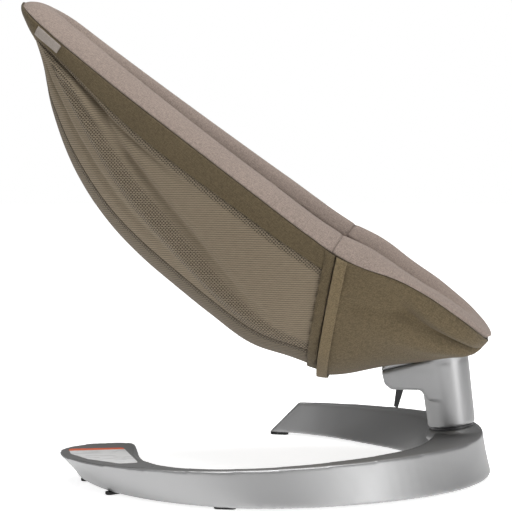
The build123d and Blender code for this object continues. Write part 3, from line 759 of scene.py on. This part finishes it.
def tube(name, line, radius, material):
    """Piping or raised seam along a line of points in metres."""
    tangent = np.gradient(line, axis=0)
    tangent /= np.linalg.norm(tangent, axis=1, keepdims=True)
    side = np.cross(tangent, (0.0, 0.3, 1.0))
    side /= np.linalg.norm(side, axis=1, keepdims=True)
    other = np.cross(tangent, side)
    angles = np.linspace(0, 2 * pi, TUBE_SIDES, endpoint=False)[None, :, None]
    round_it = np.cos(angles) * side[:, None] + np.sin(angles) * other[:, None]
    verts = (line[:, None] + radius * MM * round_it).reshape(-1, 3)
    lengths = running_length(np.linalg.norm(np.diff(line, axis=0), axis=1))
    uvs = [(length, k * 0.001) for length in lengths for k in range(TUBE_SIDES)]
    obj = mesh_object(name, verts, capped_faces(len(line), TUBE_SIDES), uvs)
    obj.data.materials.append(material)
    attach(obj, "seat")


# A thin piping cord, coloured very dark so that it also paints the shade in the crease between the pad and the
# band.
loop_again = np.append(np.arange(len(loop_u)), 0)
piping_in = PIPING_OUT - 0.3
piping_line = place(loop_u + loop_nu * piping_in, loop_y + loop_ny * piping_in,
                    piping_height(loop_u + loop_nu * PIPING_OUT) - 0.6)[loop_again]
tube("rim_piping_crease_shade", piping_line, 1.1, seam_thread_and_crease_shade)


# ================================ Sling and cover ================================
# Soft folds of the mesh side, each with the share of the way from band to seam where it starts,
# how far it drifts, its half width, its height, and the share of the seat's length it runs between
MESH_FOLDS = [
    (0.09, 0.02, 0.035, -5.5, 0.0, 0.6), (0.19, 0.05, 0.045, 3.0, 0.0, 0.55),
    (-0.145, 1.08, 0.060, -7.5, 0.18, 0.85), (0.15, 0.93, 0.085, 4.5, 0.05, 0.95),
    (0.62, 0.35, 0.060, -3.5, 0.0, 0.6), (0.28, 0.10, 0.05, -2.5, 0.0, 0.4)]
FOLDS_HEAD = 645
FOLDS_LENGTH = 520


def mesh_folds(u, v):
    """Outward push of the mesh: soft folds that fan out from the head end."""
    reach = np.clip((FOLDS_HEAD - u) / FOLDS_LENGTH, 0, 1)
    fade = np.clip(reach / 0.12, 0, 1) * np.clip((1.02 - v) / 0.2, 0, 1) * np.clip(v / 0.03, 0, 1)
    push = np.zeros_like(u)
    for start, drift, width, height, first, last in MESH_FOLDS:
        centre = start + drift * reach
        run = np.clip((reach - first) / 0.1, 0, 1) * np.clip((last - reach) / 0.25, 0, 1)
        push += height * run * np.exp(-((v - centre) / width) ** 2)
    return push * fade


def cloth_piece(name, low, u, cols, angle_low, angle_high, side, material,
                raise_by=0.0, push=None, keep=None, across_share=False):
    """Sheet of the bowl between two angles at the stations u; returns it with its flat size."""
    rows = len(u)
    u = u[:, None] * np.ones((1, cols))
    v = np.linspace(0, 1, cols)[None, :] * np.ones((rows, 1))
    angle = angle_low(u) + (angle_high(u) - angle_low(u)) * v
    y, h = bowl_points(u, angle, low)
    points = place(u, side * y, h).reshape(-1, 3)
    normals = grid_normals(points, (rows, cols))
    inside = place(u, 0 * y, -8.0).reshape(-1, 3)
    flip = np.sign(np.einsum("ij,ij->i", normals, points - inside))
    normals = normals * np.where(flip == 0, 1, flip)[:, None]
    amount = np.full(u.size, float(raise_by))
    if push is not None:
        amount = amount + push(u, v).ravel()
    points = points + normals * amount[:, None] * MM
    size = sheet_size(points, (rows, cols))
    if across_share:
        across = v
    else:
        steps = np.linalg.norm(np.diff(points.reshape(rows, cols, 3), axis=1), axis=2)
        across = np.concatenate([np.zeros((rows, 1)), np.cumsum(steps, axis=1)], axis=1)
    uvs = np.column_stack([u.ravel() * MM, across.ravel()])
    faces = grid_faces(rows, cols)
    if side > 0:
        faces = [face[::-1] for face in faces]
    obj = mesh_object(name, points, faces, uvs, points[:, [0, 2]])
    obj.data.materials.append(material)
    if keep is not None:
        cut(obj, *keep)
    return obj, size


def band_low(u):
    """Angle of the band's lower edge."""
    return angle_at_drop(u, band_height(u), sling_low)


def seam_angle(u):
    """Angle of the seam between the mesh side and the back."""
    return np.maximum(angle_at_y(u, back_half(u)), band_low(u) + 0.02)


def near_edge(u):
    """Angle of the near upper edge."""
    return 0 * u


def far_edge(u):
    """Angle of the far upper edge."""
    return 0 * u + pi


def finish_cloth(obj, size, thickness, held, rests_on, *replaced, strip=False):
    """A strip is cut from a wider grid, so its width is found from its area."""
    area = face_area(obj)
    if strip:
        size = (area / size[0], size[0])
    solidify(obj, thickness)
    apply_modifiers(obj)
    shade_smooth(obj)
    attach(obj, "seat")
    if replaced:
        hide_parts(*replaced)


BINDING = 11.0
SLING_U = 118
SEAM_START = 150
sling_u = sling_rows(SLING_U, 150)
for side, word in ((-1, "near"), (1, "far")):
    panel, size = cloth_piece(
        f"mesh_side_{word}", sling_low, sling_u, 60, band_low, seam_angle, side, mesh_cloth,
        push=mesh_folds, keep=(BINDING, None), across_share=True)
    finish_cloth(panel, size, 1.0, "stretched", ["frame_tube"], f"mesh_panel_{word}")

back, size = cloth_piece(
    "back_cloth", sling_low, sling_u, 40, seam_angle, lambda u: pi - seam_angle(u), -1, back_cloth,
    raise_by=-0.4, keep=(BINDING, None), across_share=True)
finish_cloth(back, size, 1.0, "stretched", ["frame_tube"], "back_panel")

for side, word in ((-1, "near"), (1, "far")):
    seam_u = sling_rows(SEAM_START, 120)
    seam_y, seam_h = bowl_points(seam_u, seam_angle(seam_u), sling_low)
    seam_line = place(seam_u, side * seam_y, seam_h) - 0.2 * MM * N_DIR
    tube(f"back_seam_{word}", seam_line, 1.3, seam_thread_and_crease_shade)


def band_crown(u, v):
    """Slight swell across the band."""
    return 0.8 * np.sin(np.clip(v, 0, 1) * pi)


for side, word in ((-1, "near"), (1, "far")):
    strip, size = cloth_piece(
        f"side_band_{word}", sling_low, sling_u, 14, near_edge, band_low, side, band_cloth,
        raise_by=0.9, push=band_crown, keep=(BINDING * 0.7, None))
    finish_cloth(strip, size, 1.4, "stretched", ["frame_tube"],
                 *(["side_band"] if side < 0 else []))

binding, size = cloth_piece(
    "sling_edge", sling_low, sling_u, 90, near_edge, far_edge, -1, band_cloth,
    raise_by=2.0, keep=(0.8, BINDING + 1))
finish_cloth(binding, size, 2.0, "stretched", ["frame_tube"], "sling_binding", strip=True)

# The front cover's tuck leaves the piping at the first station and falls away towards the toe
TUCK_START = 153
TUCK_FALL = 0.0025


def bell(x, width):
    """Smooth hump of height 1."""
    return np.exp(-(x / width) ** 2)


def ramp(x, length):
    """Straight rise from 0 to 1."""
    return np.clip(x / length, 0, 1)


def cover_push(u, v):
    """Slack tuck slanting down the front cover, the rolls on both sides of it, and a crease."""
    side_v = np.minimum(v, 1 - v) * 2
    line = np.maximum(TUCK_FALL * (TUCK_START - u), 0)
    near_toe = ramp(u, 15)
    tuck = -11.0 * bell(side_v - line, 0.058) * ramp(line, 0.14) * near_toe
    roll = 3.5 * bell(side_v - 0.4 * line, 0.35 * line + 0.01) * ramp(130 - u, 50) * near_toe
    belly = 3.0 * bell(side_v - line - 0.16, 0.09) * ramp(190 - u, 50) * near_toe
    crease = -3.0 * bell(side_v - 0.175, 0.032) * ramp(u - 80, 30) * ramp(165 - u, 20)
    return (tuck + roll + belly + crease) * ramp(side_v, 0.03)


def hem_push(u, v):
    """Gentle waves along the folded hem."""
    return 0.7 * np.sin(v * 31.0) + 0.5 * np.sin(v * 13.0 + 1.0)


front_u = np.concatenate([np.linspace(-0.9, 12, 16)[:-1], np.linspace(12, 215, 90)])
cover, size = cloth_piece(
    "foot_cover", cover_low, front_u, 130, near_edge, far_edge, -1, cover_cloth,
    raise_by=0.6, push=cover_push, keep=(None, -1.0))
finish_cloth(cover, size, 1.6, "stretched", ["frame_tube"], "front_cover")
hem, size = cloth_piece(
    "foot_cover_hem", cover_low, front_u, 130, near_edge, far_edge, -1, hem_cloth,
    raise_by=2.6, push=hem_push, keep=(-13.0, -0.6))
finish_cloth(hem, size, 2.2, "folded", ["frame_tube"], "cover_hem", strip=True)

# ================================ Liner ================================
LINER_GRID = (90, 60)
LINER_U = (34, 640)
LINER_DROP = 16.0
row_share = (0.5 - 0.5 * np.cos(np.linspace(0, pi, LINER_GRID[0])))[:, None]
liner_u = LINER_U[0] + (LINER_U[1] - LINER_U[0]) * row_share * np.ones((1, LINER_GRID[1]))
liner_angle = np.linspace(0, pi, LINER_GRID[1])[None, :] * np.ones((LINER_GRID[0], 1))
half = liner_half(liner_u)
bottom = np.maximum(liner_low(liner_u), 9)
rim_drop = np.minimum(LINER_DROP, bottom - 1)
liner_y = -half * np.cos(liner_angle)
liner_h = -(rim_drop + (bottom - rim_drop) * np.sin(liner_angle))
dimple = 1.2 * np.sin(liner_u / 26.0) * np.sin(liner_angle * 9) * np.sin(liner_angle)
liner_points = place(liner_u, liner_y, liner_h - 1.0 + dimple).reshape(-1, 3)
liner_uv = np.column_stack([liner_u.ravel(), (liner_angle * half).ravel()]) * MM
liner = mesh_object("seat_lining", liner_points, grid_faces(*LINER_GRID), liner_uv)
liner.data.materials.append(liner_cloth)
solidify(liner, 6.0)
apply_modifiers(liner)
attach(liner, "seat")
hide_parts("seat_liner")

# ================================ Harness ================================
STRAP_DROP = 22
STRAP_RAISE = 1.5


def strap(name, replaced, u_span, angle_span, grid):
    """Flat webbing lying on the lining."""
    rows, cols = grid
    u = np.linspace(*u_span, rows)[:, None] * np.ones((1, cols))
    angle = np.linspace(*angle_span, cols)[None, :] * np.ones((rows, 1))
    y = -liner_half(u) * np.cos(angle)
    h = -(STRAP_DROP + (liner_low(u) - STRAP_DROP) * np.sin(angle)) + STRAP_RAISE
    points = place(u, y, h).reshape(-1, 3)
    size = sheet_size(points, grid)
    uv = np.column_stack([u.ravel() * MM, (angle * liner_half(u)).ravel() * MM])
    obj = mesh_object(name, points, grid_faces(rows, cols), uv)
    obj.data.materials.append(strap_cloth)
    finish_cloth(obj, size, 1.4, "laid", ["seat_lining"], replaced)


strap("waist_webbing_near", "waist_strap_near", (228, 252), (0.12, 1.26), (8, 50))
strap("waist_webbing_far", "waist_strap_far", (228, 252), (pi - 1.26, pi - 0.12), (8, 50))
strap("crotch_webbing", "crotch_strap", (172, 224), (pi / 2 - 0.095, pi / 2 + 0.095), (40, 8))

# ================================ Tag ================================
TAG_U = (586.5, 624.5)


def tag_top(u):
    """Angle of the tag's upper edge, just below the piping."""
    return angle_at_drop(u, 0.8, sling_low)


def tag_low(u):
    """Angle of the tag's lower edge."""
    return angle_at_drop(u, 9.8, sling_low)


def tag_lift(u, v):
    """The tag's loose end stands away from the band."""
    return 2.2 * np.exp(-(u - TAG_U[0]) / 6)


tag, size = cloth_piece(
    "side_label", sling_low, np.linspace(*TAG_U, 20), 10, tag_top, tag_low, -1, tag_cloth,
    raise_by=3.0, push=tag_lift)
finish_cloth(tag, size, 0.8, "folded", ["side_band_near"], "side_tag")

# ================================ Studio ================================
STUDIO_RADIUS = 9.0
# The floor's glow beside the seat and far from it, as (distance from the middle, strength)
GLOW_NEAR = (0.5, 0.72)
GLOW_FAR = (3.5, 0.95)


def studio_piece(name, mesh, material_name, grey):
    """Surface of the studio that glows white; returns it with its node tree and shader."""
    obj = add_object(name, take_mesh(name, mesh))
    material, tree, shader = new_material(material_name)
    shader.inputs["Base Color"].default_value = (grey, grey, grey, 1)
    shader.inputs["Specular IOR Level"].default_value = 0.0
    shader.inputs["Emission Color"].default_value = (1, 1, 1, 1)
    obj.data.materials.append(material)
    return obj, tree, shader


floor_mesh = bmesh.new()
bmesh.ops.create_circle(floor_mesh, cap_ends=True, segments=96, radius=STUDIO_RADIUS)
floor, floor_tree, floor_shader = studio_piece("studio_floor", floor_mesh, "pale_floor", 0.93)
floor_shader.inputs["Roughness"].default_value = 0.9
from_middle = floor_tree.nodes.new("ShaderNodeVectorMath")
from_middle.operation = "LENGTH"
floor_tree.links.new(object_coords(floor_tree, (1, 1, 1)), from_middle.inputs[0])
glow = spread(floor_tree, from_middle.outputs["Value"], GLOW_NEAR[0], GLOW_FAR[0],
              GLOW_NEAR[1], GLOW_FAR[1])
floor_tree.links.new(glow, floor_shader.inputs["Emission Strength"])

wall_mesh = bmesh.new()
bmesh.ops.create_uvsphere(wall_mesh, u_segments=96, v_segments=48, radius=STUDIO_RADIUS)
below_floor = [vert for vert in wall_mesh.verts if vert.co.z < -0.6]
bmesh.ops.delete(wall_mesh, geom=below_floor, context="VERTS")
wall, _, wall_shader = studio_piece("studio_wall", wall_mesh, "pale_wall", 0)
wall_shader.inputs["Emission Strength"].default_value = 1.0
wall.visible_diffuse = wall.visible_glossy = False
wall.visible_transmission = wall.visible_shadow = False

world = bpy.data.worlds.new("studio")
world.use_nodes = True
sky = world.node_tree
sky_height = sky.nodes.new("ShaderNodeSeparateXYZ")
sky_coords = sky.nodes.new("ShaderNodeTexCoord")
sky.links.new(sky_coords.outputs["Generated"], sky_height.inputs["Vector"])
sky_share = spread(sky, sky_height.outputs["Z"], -0.1, 0.75)
sky.links.new(mix_colour(sky, sky_share, (0.22, 0.22, 0.22), (1, 1, 1)),
              sky.nodes["Background"].inputs["Color"])
sky.nodes["Background"].inputs["Strength"].default_value = 0.3
scene.world = world

# Soft lights, as name, place, point aimed at, size and power
LIGHTS = [
    ("overhead", (0.1, -0.4, 2.4), (0, 0, 0.2), (1.5, 1.5), 56),
    ("front_right", (2.1, -1.7, 0.45), (0.15, 0, 0.1), (0.9, 0.9), 18),
    ("front_left", (-1.9, -2.2, 1.0), (0, 0, 0.2), (0.6, 0.9), 5)]
for name, spot, aim, size, power in LIGHTS:
    lamp = bpy.data.lights.new(name, "AREA")
    lamp.shape = "RECTANGLE"
    lamp.size, lamp.size_y = size
    lamp.energy = power
    light = add_object(name, lamp)
    light.location = spot
    light.rotation_euler = (Vector(aim) - Vector(spot)).to_track_quat("-Z", "Y").to_euler()

camera_data = bpy.data.cameras.new("camera")
camera_data.lens = 107.2
camera_data.sensor_width = 36
camera = add_object("camera", camera_data)
camera.location = (0.2219, -1.7826, 0.3764)
camera.rotation_euler = (radians(90 - 3.94), 0, radians(7))
scene.camera = camera
scene.view_settings.view_transform = "Standard"
